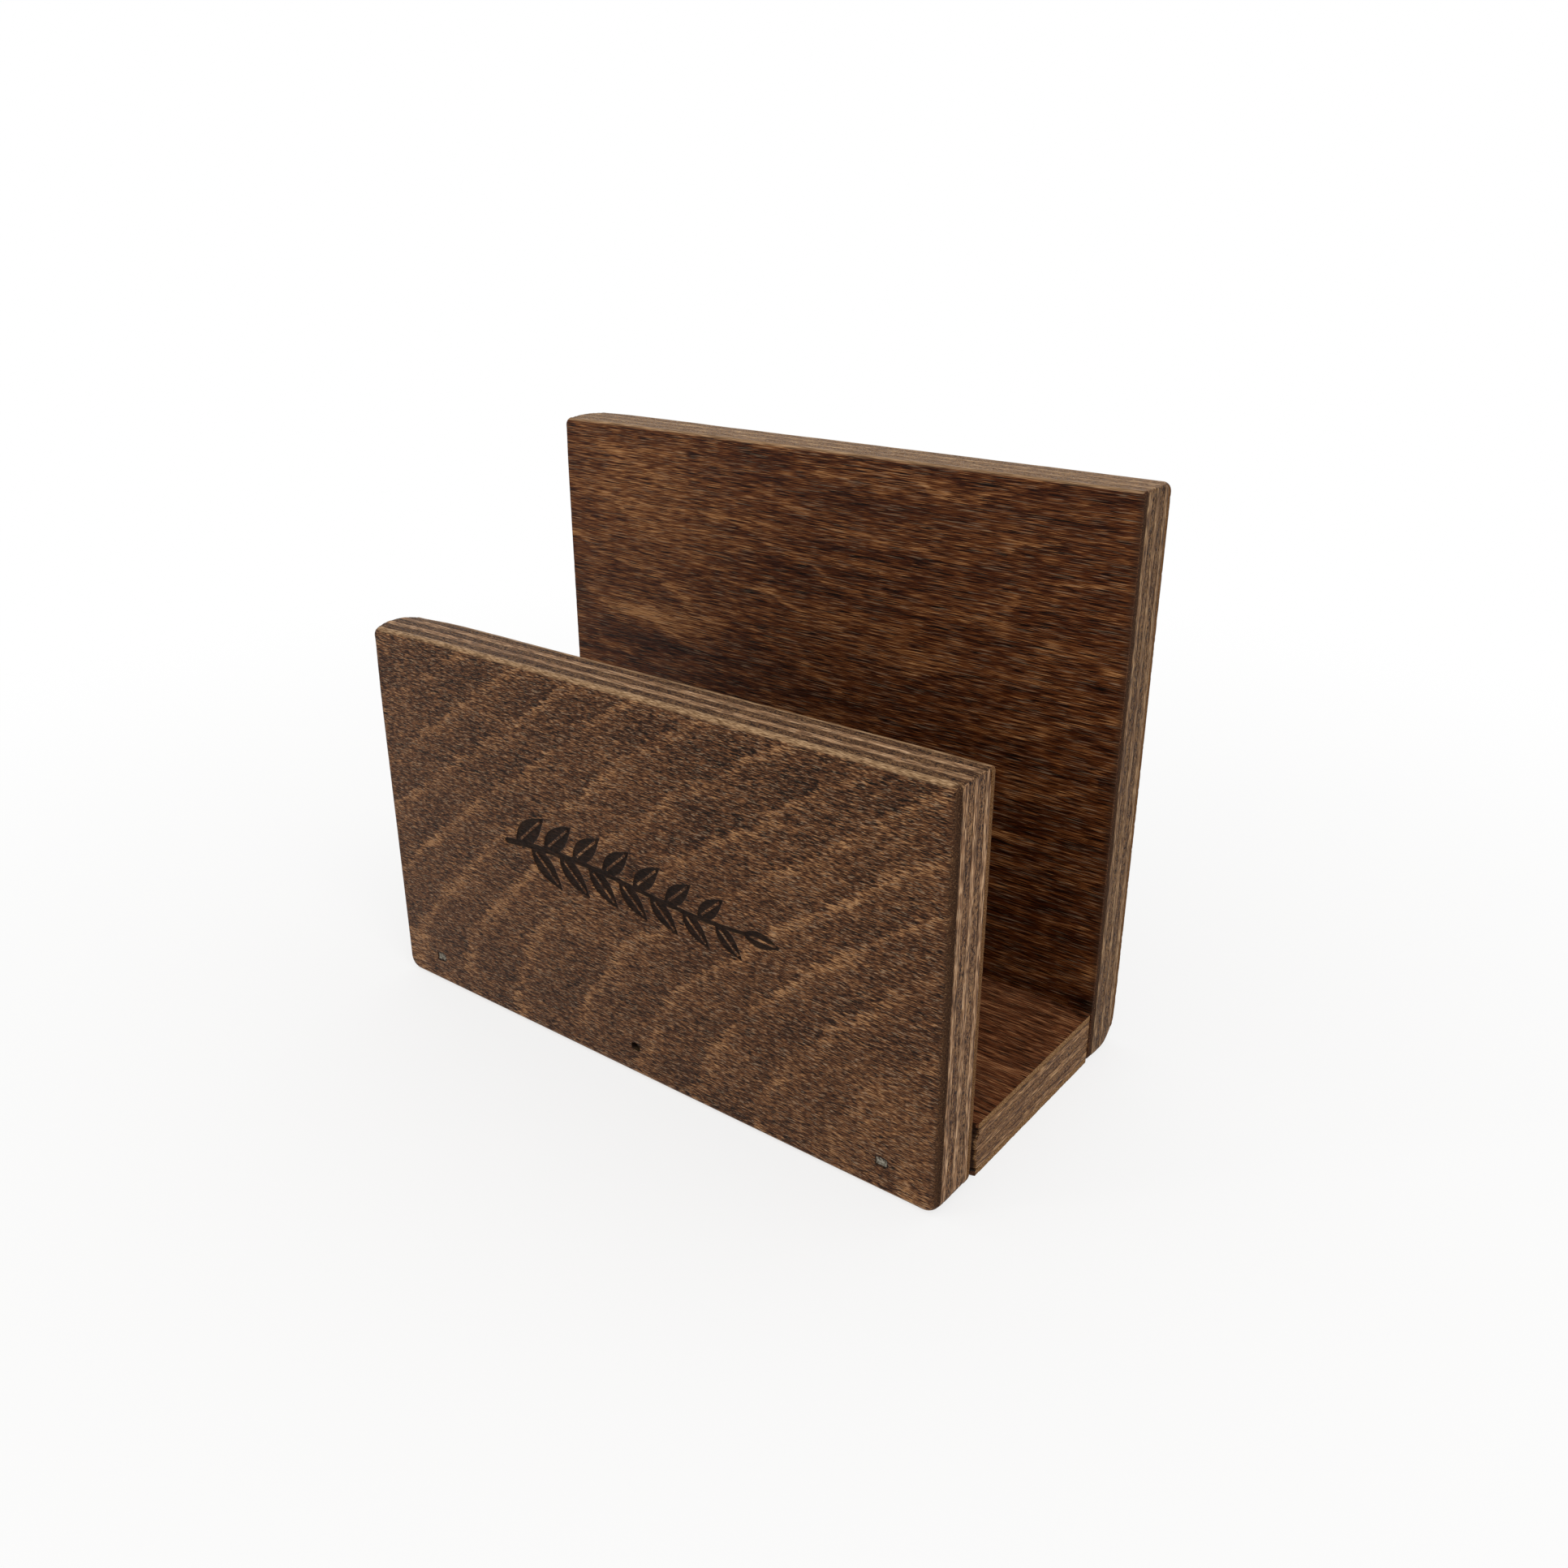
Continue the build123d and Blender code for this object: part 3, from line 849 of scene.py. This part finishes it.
# %% [markdown]
# ## The figure of a face
# Rotary-cut birch is peeled off the log almost along its growth rings, so each ring comes out as a wide
# flame. A hyperbola is close to that shape. So the ring lines are drawn as evenly spaced hyperbolas,
# each a light edge that fades to dark until the next one, and fibres feather it into ragged steps.

# %% Draw the flames
FLAME_ENDS = ((0.0, 0.1), (1.0, 0.0))
FLAME_CURVE = ((0.04, 0.95), (0.09, 1.0), (0.17, 0.5), (0.32, 0.27), (0.6, 0.15))
DRIFT_REACH, STEP_REACH = 20.0, 0.6  # in millimetres, and as a share of the period


def ring_flames(add, mm, drift, steps, across, bend, period, slope, bend_at, bend_over):
    """Ring number = (across - slope times the root of (bend - bend_at)^2 + bend_over^2, plus some drift
    and ragged steps) / period. Its fraction goes through a curve that is high just after each line."""
    parts = add("SeparateXYZ", [mm]).node.outputs
    leant = add("Math", [parts[bend], bend_at], operation="SUBTRACT")
    leant = add("CombineXYZ", [leant, bend_over])
    leant = add("VectorMath", [leant], out="Value", operation="LENGTH")
    rings = add("Math", [leant, -slope, parts[across]], **TIMES_PLUS)
    for field, reach in ((drift, DRIFT_REACH), (steps, STEP_REACH * period)):
        rings = add("Math", [field, reach, rings], **TIMES_PLUS)
    rings = add("Math", [rings, period], operation="DIVIDE")
    tooth = add("Math", [rings], operation="FRACT")
    flame = add("FloatCurve", {"Value": tooth})
    points = flame.node.mapping.curves[0].points
    points[0].location, points[1].location = FLAME_ENDS
    for at, level in FLAME_CURVE:
        points.new(at, level)
    flame.node.mapping.update()
    return flame


print("a flame is lightest", FLAME_CURVE[1][0], "of the way to the next one")

# %% [markdown]
# Soft patches make the wood lighter or darker in places. Most are stain, lighter where a ring was open and
# darker where it was wiped on twice. Some are painted shade, in the back panel's lower right and in the inner
# corner where it meets the base, and a small pale one beside the deep brad hole is a painted glint. A patch
# is an ellipsoid with its middle, its reach and how much lighter or darker it makes the wood.

# %% Lay the patches
PATCH_EDGE, PATCH_RAGGED = (0.6, 1.8), 1.2


def patched(add, mm, tone, ragged, patches):
    """Adds each patch to a tone: its full amount inside, fading out over a ragged edge."""
    for centre, reach, amount in patches:
        away = add("VectorMath", [mm, centre], operation="SUBTRACT")
        away = add("VectorMath", [away, [1 / x for x in reach]], operation="MULTIPLY")
        away = add("VectorMath", [away], out="Value", operation="LENGTH")
        away = add("Math", [ragged, PATCH_RAGGED, away], **TIMES_PLUS)
        near = add("MapRange", [away, *PATCH_EDGE, amount, 0.0], **SMOOTH)
        tone = add("Math", [tone, near], operation="ADD")
    return tone


print("a patch fades out over", round(PATCH_EDGE[1] - PATCH_EDGE[0], 1), "times its reach")

# %% [markdown]
# Over the figure runs the fine dash of single fibres: dark pores, and here and there a pale whitish dash on a
# fibre, a painted glint where the lacquer would catch the light. The colour of a face comes from all of it
# together.

# %% List the fields of a face
# In millimetres. A real pore is about 0.07 wide and a fibre 0.03, which is too fine to show.
PORE_WIDTH, PAINTED_GLINT_WIDTH = 0.13, 0.15
BUNDLE_LONGER, BUNDLE_WIDER = 5.0, 2.2  # a bundle of fibres against a single one


def face_fields(add, mm, look):
    """The noise fields of a face by name, each from its lengths, its detail and its shift."""
    length, width = look["fibre"]
    fields = {  # axis, length along it and width across it in millimetres, detail, shift
        "ragged": (X, 2.6, 0.22, 3.0, 0.0), "steps": (X, *look["steps"], 2.0, 3.1),
        "streaks": (X, 48.0, 2.4, 4.0, 5.3), "drift": (Z, 30.0, 38.0, 3.0, 9.1),
        "strength": (X, 14.0, 7.0, 2.0, 13.7), "blotches": (X, 26.0, 12.0, 3.0, 27.3),
        "bundles": (X, BUNDLE_LONGER * length, BUNDLE_WIDER * width, 2.0, 17.9),
        "fibres": (X, length, width, 1.0, 21.1),
        "pores": (X, length, PORE_WIDTH, 1.0, 33.9), "painted_glints": (X, length, PAINTED_GLINT_WIDTH, 1.0, 39.7),
    }
    return {name: fibre_pattern(add, mm, along_axis(*size), detail, look["shift"] + shift)
            for name, (*size, detail, shift) in fields.items()}


print("a pore is drawn", PORE_WIDTH, "mm wide")

# %% [markdown]
# A flame is not equally strong along its whole length, so a slow field turns each one up and down. Then
# everything is added to one tone, the pores are taken off it, and painted glints, pale dashes on the fibres,
# are laid over the colour.

# %% Colour a face
FACE_PLACES = (0.0, 0.25, 0.5, 0.75, 1.0)
FAINT, WEAK, STRONG = (0.32, 0.64), 0.3, 2.2  # the field's range, and a flame's strength at its ends
FLAME_MIDDLE, BLOTCH = 0.26, 0.35
DARK_PORE = (0.36, 0.43, -0.5, 0.0)
# painted glints: pale whitish dashes on the fibres, where the lacquer would catch the light
PAINTED_GLINT_RANGE, PAINTED_GLINT_COLOUR = (0.6, 0.72), "#a58a6f"
PORE_HEIGHT = 0.8


def face_colour(add, mm, fields, look):
    """A tone from the flames, the fibres, long streaks, blotches and patches, some of them painted shade,
    turned into stained wood, with painted glints laid over it. Returns the colour and the height of the
    fibres."""
    flame = ring_flames(add, mm, fields["drift"], fields["steps"], *look["rings"])
    strength = add("MapRange", [fields["strength"], *FAINT, WEAK * look["figure"], STRONG * look["figure"]])
    flame = add("Math", [flame, FLAME_MIDDLE], operation="SUBTRACT")
    flame = add("Math", [flame, strength, 0.5], **TIMES_PLUS)
    tone = summed_tone(add, look["light"], (flame, 1.0), (fields["bundles"], look["coarse"]),
                       (fields["fibres"], look["fine"]), (fields["streaks"], look["streak"]),
                       (fields["blotches"], BLOTCH))
    tone = patched(add, mm, tone, fields["streaks"], look["patches"])
    pore = add("MapRange", [fields["pores"], *DARK_PORE])
    tone = add("Math", [tone, pore], operation="ADD")
    wood = add("ValToRGB", [tone], zip(FACE_PLACES, look["palette"]))
    # painted glints laid over the wood as pale dashes
    painted_glints = add("MapRange", [fields["painted_glints"], *PAINTED_GLINT_RANGE, 0.0, look["painted_glints"]])
    wood = add("Mix", {0: painted_glints, 6: wood, 7: linear(PAINTED_GLINT_COLOUR)}, **COLOURS)
    return wood, add("Math", [fields["pores"], PORE_HEIGHT, fields["fibres"]], **TIMES_PLUS)


print("a flame is up to", STRONG, "times as strong as the look says")

# %% [markdown]
# At the rounded ends of a face its fibres stop, and the open ends drank so much stain that a dark smooth
# strip shows there. The long edges were rubbed lighter instead. The normal tells the two apart.

# %% Darken the ends and lighten the long edges
ROLLED, ROLLED_STREAKS, END_LESS = (0.45, 1.0), 0.5, -0.8
RUBBED_WOOD = [(0.3, "#553a24"), (0.5, "#90704f"), (0.7, "#c09d78")]
END_TURNED = (0.5, 0.95)
SOAKED, SOAKED_RAGGED = (59.7, 61.0), 2.4  # millimetres along X, and how far the fibres pull that about


def worn_edges(add, mm, wood, fields, look):
    """Mixes pale rubbed wood in where a long edge rolls over, and end grain where an end does. Returns
    the colour and how much of it is end grain."""
    normal = add("SeparateXYZ", [add("NewGeometry", out="Normal")]).node.outputs
    rolled, end = (add("Math", [normal[axis]], operation="ABSOLUTE") for axis in (look["long_edge"], "X"))
    for field, amount in ((end, END_LESS), (fields["streaks"], ROLLED_STREAKS)):
        rolled = add("Math", [field, amount, rolled], **TIMES_PLUS)
    rolled = add("MapRange", [rolled, *ROLLED, 0.0, look["rub"]], **SMOOTH)
    rubs = add("ValToRGB", [fields["fibres"]], RUBBED_WOOD)
    wood = add("Mix", {0: rolled, 6: wood, 7: rubs}, **COLOURS)
    end = add("MapRange", [end, *END_TURNED], **SMOOTH)
    soaked = add("SeparateXYZ", [mm], out="X")
    soaked = add("Math", [fields["ragged"], SOAKED_RAGGED, soaked], **TIMES_PLUS)
    soaked = add("MapRange", [soaked, *SOAKED, 0.0, look["soak"]], **SMOOTH)
    end = add("Math", [end, soaked], operation="MAXIMUM")
    ends = add("ValToRGB", [fields["ragged"]], look["ends"])
    return add("Mix", {0: end, 6: wood, 7: ends}, **COLOURS), end


least = math.degrees(math.asin(ROLLED[0] - ROLLED_STREAKS / 2))
print("a long edge is rubbed where it turns away by more than about", round(least), "degrees")

# %% [markdown]
# A burnt line is nearly black and duller than the lacquer round it. A hollow where a brad tore the wood holds
# dark stain, and is painted darker still as the shade down in the hole and round the head. Then the lacquer
# goes on: satin, smoother on the fibres than in the pores. The end grain drank it all up, so it stays matt.

# %% Stain and lacquer the faces
LACQUER_LEVEL, FACE_BUMP = 0.07, 0.06 * MM  # a thin, half sunk-in coat mirrors less than a full one
FIBRE_GLOSS = (0.3, 0.7, 0.46, 0.3)  # roughness from the pores to the tops of the fibres
CHAR = [(0.3, "#0a0503"), (0.55, "#170d08"), (0.72, "#362217")]
CHARRED, CHAR_RAGGED, CHAR_ROUGHER = (0.02, 0.12, 0.0, 0.95), 0.12, 0.2
# a brad hollow: dark stain, and painted shade down in the hole and round the head
TORN_HOLLOW, HOLLOW_DARK = (0.01, 0.08, 0.0, 0.9), "#120905"


def stained_face(look):
    """Birch face veneer, rotary cut, stained walnut and lacquered once. To the eye it is a warm brown with
    lighter flames or streaks, dashed with fine dark pores, and has a soft sheen that breaks on the fibres."""
    material, add, mm = new_material(look["name"])
    fields = face_fields(add, mm, look)
    wood, height = face_colour(add, mm, fields, look)
    wood, end = worn_edges(add, mm, wood, fields, look)
    rough = add("MapRange", [fields["fibres"], *FIBRE_GLOSS])
    inside = add("Attribute", out="Fac", attribute_name="burnt_mm")
    inside = add("Math", [fields["ragged"], CHAR_RAGGED, inside], **TIMES_PLUS)
    char = add("MapRange", [inside, *CHARRED], **SMOOTH)
    wood = add("Mix", {0: char, 6: wood, 7: add("ValToRGB", [fields["ragged"]], CHAR)}, **COLOURS)
    rough = add("Math", [char, CHAR_ROUGHER, rough], **TIMES_PLUS)
    # brad hollows: dark stain and painted shade in the hole
    torn = add("Attribute", out="Fac", attribute_name="torn_mm")
    torn = add("MapRange", [torn, *TORN_HOLLOW])
    wood = add("Mix", {0: torn, 6: wood, 7: linear(HOLLOW_DARK)}, **COLOURS)
    rough = add("Math", [rough, end], operation="MAXIMUM")
    bump = add("Bump", {"Strength": 1.0, "Distance": FACE_BUMP, "Height": height})
    surface = add("BsdfPrincipled", {"Base Color": wood, "Roughness": rough, "IOR": LACQUER_IOR,
                                     "Specular IOR Level": LACQUER_LEVEL, "Normal": bump})
    add("OutputMaterial", [surface])
    return material


print("lacquer with an index of", LACQUER_IOR)

# %% [markdown]
# Six faces, six looks. The front panel's is flamed and has the dark strip at its right end. The back
# panel's inner face is streaked, redder and more golden, with a light wedge and a small knot at its
# left and deep shade in its lower right. The sides that the photograph doesn't show are plainer.

# %% Choose the look of each face
BROWN = ("#110803", "#351d0f", "#55341e", "#7b5334", "#a87e55")
GOLDEN = ("#0f0502", "#301206", "#4f270f", "#7b4d2a", "#ab7b4e")
REDDISH = ("#100602", "#33180b", "#562f1a", "#7b4b2e", "#a8774f")
SOAKED_END = [(0.3, "#1c110b"), (0.5, "#352317"), (0.64, "#4e3524"), (0.74, "#9a7c5c")]
WIPED_END = [(0.3, "#22150e"), (0.5, "#3b281c"), (0.64, "#523928"), (0.74, "#8a6c4c")]
PLAIN_END = [(0.3, "#3c2615"), (0.5, "#64462c"), (0.7, "#8d6a47")]
# SAWN_END: the base's sawn ends with pale fuzz; its palest stop is also a painted highlight along the base's
# top edge
SAWN_END = [(0.3, "#452b18"), (0.5, "#7c5b3b"), (0.62, "#a07d58"), (0.72, "#d0b592")]
PLAIN = {"rings": ("Z", "X", 9.0, 0.3, -30.0, 30.0), "figure": 0.2, "streak": 0.9, "patches": [],
         "light": 0.47, "painted_glints": 0.2, "coarse": 0.8, "fine": 1.3, "fibre": (3.0, 0.13), "steps": (3.4, 0.5),
         "palette": BROWN, "ends": PLAIN_END, "soak": 0.0, "rub": 0.85, "long_edge": "Z"}
LAID = PLAIN | {"ends": SAWN_END, "rub": 0.0, "long_edge": "Y"}
LOOKS = {
    ("front_panel", "face"): PLAIN | {
        "name": "walnut_stained_birch_flame", "shift": 0.0, "rings": ("X", "Z", 14.0, 1.45, 2.0, 18.0),
        "figure": 0.21, "streak": 0.25, "light": 0.455, "painted_glints": 0.6, "coarse": 0.5, "fine": 2.3,
        "fibre": (1.2, 0.115), "ends": SOAKED_END, "soak": 0.9, "rub": 1.0,
        # the last patch is a painted glint beside the deep brad hole, drawn as a pale torn fibre
        "patches": [((15, -30, 60), (40, 40, 12), -0.04), ((50, -30, 14), (9, 40, 8), 0.12),
                    ((-44, -30, 47.7), (22, 40, 0.6), -0.2), ((1.1, -30, 5.7), (0.3, 40, 0.25), 0.4)]},
    ("front_panel", "back"): PLAIN | {"name": "walnut_stained_birch_inner", "shift": 310.0},
    ("back_panel", "face"): PLAIN | {
        "name": "walnut_stained_birch_streaked", "shift": 140.0, "rings": ("Z", "X", 9.5, 0.42, 18.0, 24.0),
        "figure": 0.13, "streak": 0.75, "light": 0.475, "painted_glints": 0.35, "coarse": 0.6, "fine": 1.9,
        "fibre": (4.0, 0.11), "steps": (16.0, 0.8), "palette": GOLDEN, "ends": WIPED_END, "soak": 0.5,
        # a light wedge and band at the left, a dark band, painted shade in the lower right, a small knot, and
        # painted shade in the inner corner by the base
        "patches": [((-42, 20, 84), (24, 40, 22), 0.21), ((-38, 20, 63), (20, 40, 3.5), 0.42),
                    ((-15, 20, 54.5), (50, 40, 4.5), -0.17), ((50, 20, 30), (20, 40, 25), -0.12),
                    ((-27.5, 20, 95), (2.2, 40, 1.3), -0.4), ((59, 20, 11), (4, 40, 3), -0.25)]},
    ("back_panel", "back"): PLAIN | {
        "name": "walnut_stained_birch_rear", "shift": 520.0, "rings": ("X", "Z", 17.0, 0.9, 40.0, 30.0),
        "figure": 0.12, "streak": 0.6, "fine": 1.6, "fibre": (3.0, 0.12), "steps": (9.0, 0.8)},
    ("base_board", "face"): LAID | {
        "name": "walnut_stained_birch_floor", "shift": 60.0, "rings": ("Y", "X", 8.0, 0.2, -20.0, 30.0),
        "figure": 0.1, "streak": 0.4, "light": 0.55, "coarse": 1.0, "fine": 2.0, "palette": REDDISH,
        # painted shade in the inner corner where the base meets the back panel
        "patches": [((59.5, 20, 10), (3, 4, 40), -0.3)]},
    ("base_board", "back"): LAID | {
        "name": "walnut_stained_birch_underside", "shift": 710.0, "rings": ("Y", "X", 10.0, 0.35, 10.0, 30.0),
        "streak": 0.7},
}
for place, piece in SHEETS.items():
    piece.data.materials.append(stained_face(LOOKS[place]))
print("face materials:", [look["name"] for look in LOOKS.values()])

# %% [markdown]
# ## The brads
# The heads of the brads are small pieces of zinc-coated wire, dulled by the stain that was wiped over
# them. Their shape in the frame is right, so the frame's own pieces stay and get a metal: grey, quite
# rough, with brown left in its dents.

# %% Finish the brads
DENT = 0.45  # size of a hammer dent in millimetres
DENT_BUMP, DENT_GLOSS = 0.12 * MM, (0.0, 1.0, 0.65, 0.4)
STAINED_ZINC = [(0.35, "#3a3128"), (0.5, "#6e675a"), (0.7, "#a6a092")]
STAINED_METAL = 0.8  # the film of stain makes it less of a metal


def brad_steel():
    """Zinc-coated steel wire, pressed and hammered. To the eye it is a dull grey fleck with brown stain in
    its low places."""
    material, add, mm = new_material("zinc_coated_brad_steel")
    dents = add("TexNoise", {"Vector": mm, "Scale": 1 / DENT, "Detail": 3.0}, out="Fac")
    colour = add("ValToRGB", [dents], STAINED_ZINC)
    rough = add("MapRange", [dents, *DENT_GLOSS])
    bump = add("Bump", {"Strength": 1.0, "Distance": DENT_BUMP, "Height": dents})
    surface = add("BsdfPrincipled", {"Base Color": colour, "Metallic": STAINED_METAL, "Roughness": rough,
                                     "Normal": bump})
    add("OutputMaterial", [surface])
    return material


STEEL = brad_steel()
for node in ("front_brads", "back_brads"):
    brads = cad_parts[node]
    brads.data.materials.clear()
    brads.data.materials.append(STEEL)
print("brads wear", STEEL.name)

# %% [markdown]
# ## A white table
# The photograph was taken against plain white. The table is a large pale sheet of paper that takes the
# holder's shadow, and it fades into the white of the world before its far edge shows. The fading is only
# for what the camera and mirrors see, so no extra light comes up from the table.

# %% Lay the table
FLOOR_DROP, FLOOR_HALF = 0.15 * MM, 3.0
FADE_FROM, FADE_TO, NEAR_WHITE = 0.03, 0.32, 0.72
WHITE = linear("#ffffff")


def seen_directly(add):
    """1 for rays from the camera, from mirrors and through glass, and 0 for light on a surface."""
    path = add("LightPath").node.outputs
    seen = add("Math", [path["Is Camera Ray"], path["Is Glossy Ray"]], operation="MAXIMUM")
    return add("Math", [seen, path["Is Transmission Ray"]], operation="MAXIMUM")


def white_paper():
    """White paper, matt. To the eye it is a pale ground with a soft shadow, lost in white further out."""
    material, add, mm = new_material("white_paper_table")
    paper = add("BsdfPrincipled", {"Base Color": linear("#f4f3f1"), "Roughness": 0.9,
                                   "Specular IOR Level": 0.0})
    far = add("VectorMath", [mm], out="Value", operation="LENGTH")
    far = add("MapRange", [far, FADE_FROM / MM, FADE_TO / MM, NEAR_WHITE], **SMOOTH)
    far = add("Math", [far, seen_directly(add)], operation="MULTIPLY")
    glow = add("Emission", {"Color": WHITE, "Strength": 1.0})
    add("OutputMaterial", [add("MixShader", [far, paper, glow])])
    return material


corners = [(x * FLOOR_HALF, y * FLOOR_HALF, -FLOOR_DROP) for x, y in ((-1, -1), (1, -1), (1, 1), (-1, 1))]
sheet = bpy.data.meshes.new("table")
sheet.from_pydata(corners, [], [(0, 1, 2, 3)])
sheet.materials.append(white_paper())
table = bpy.data.objects.new("table", sheet)
bpy.context.scene.collection.objects.link(table)
print("the table is", 2 * FLOOR_HALF, "m wide")

# %% [markdown]
# ## Soft light
# A white room lights the holder evenly from all sides. The camera sees it as full white, while the light
# it gives stays a little lower. One wide soft lamp stands to the right, and a small one far to the left is
# there for the glints on the lacquered fibres.

# %% Light the room
SKY_LIGHT = 0.72
AIM = Vector((0, 0, 0.04))
world = bpy.data.worlds.new("white_room")
world.use_nodes = True
world.node_tree.nodes.clear()
bpy.context.scene.world = world
add = partial(add_node, world.node_tree)
level = add("MapRange", [seen_directly(add), 0.0, 1.0, SKY_LIGHT, 1.0])
add("OutputWorld", [add("Background", {"Color": WHITE, "Strength": level})])


def lamp(name, place, size, power):
    """A square soft lamp at a place in metres, turned to the middle of the holder."""
    data = bpy.data.lights.new(name, "AREA")
    data.shape, data.size, data.energy = "SQUARE", size, power
    piece = bpy.data.objects.new(name, data)
    piece.location = place
    piece.rotation_mode = "QUATERNION"
    piece.rotation_quaternion = (AIM - Vector(place)).to_track_quat("-Z", "Y")
    bpy.context.scene.collection.objects.link(piece)


lamp("soft_lamp", (0.85, -0.55, 0.95), 0.8, 5.5)
lamp("glint_lamp", (-0.60, -0.78, 0.42), 0.16, 0.9)
bpy.context.scene.view_settings.view_transform = "Standard"
print("sky at", SKY_LIGHT, "with two lamps")

# %% [markdown]
# ## The camera
# The photograph's camera was worked out from the straight edges of the boards: where it stood, which
# way it looked and how wide its lens was. It stands to the right of the holder and looks down a little.

# %% Place the camera
CAMERA_PLACE = Vector((0.141302, -0.173640, 0.140040))
AZIMUTH, ELEVATION = math.radians(37.320), math.radians(23.206)
LENS, SENSOR, NEAREST = 31.99, 36.0, 0.01
camera_data = bpy.data.cameras.new("photo_camera")
camera_data.lens, camera_data.sensor_width, camera_data.clip_start = LENS, SENSOR, NEAREST
camera = bpy.data.objects.new("photo_camera", camera_data)
level_way = Vector((-math.sin(AZIMUTH), math.cos(AZIMUTH), 0)) * math.cos(ELEVATION)
forward = level_way - Vector((0, 0, math.sin(ELEVATION)))
camera.location = CAMERA_PLACE
camera.rotation_mode = "QUATERNION"
camera.rotation_quaternion = forward.to_track_quat("-Z", "Y")
bpy.context.scene.collection.objects.link(camera)
bpy.context.scene.camera = camera
print("camera", round(CAMERA_PLACE.length, 3), "m from the origin")
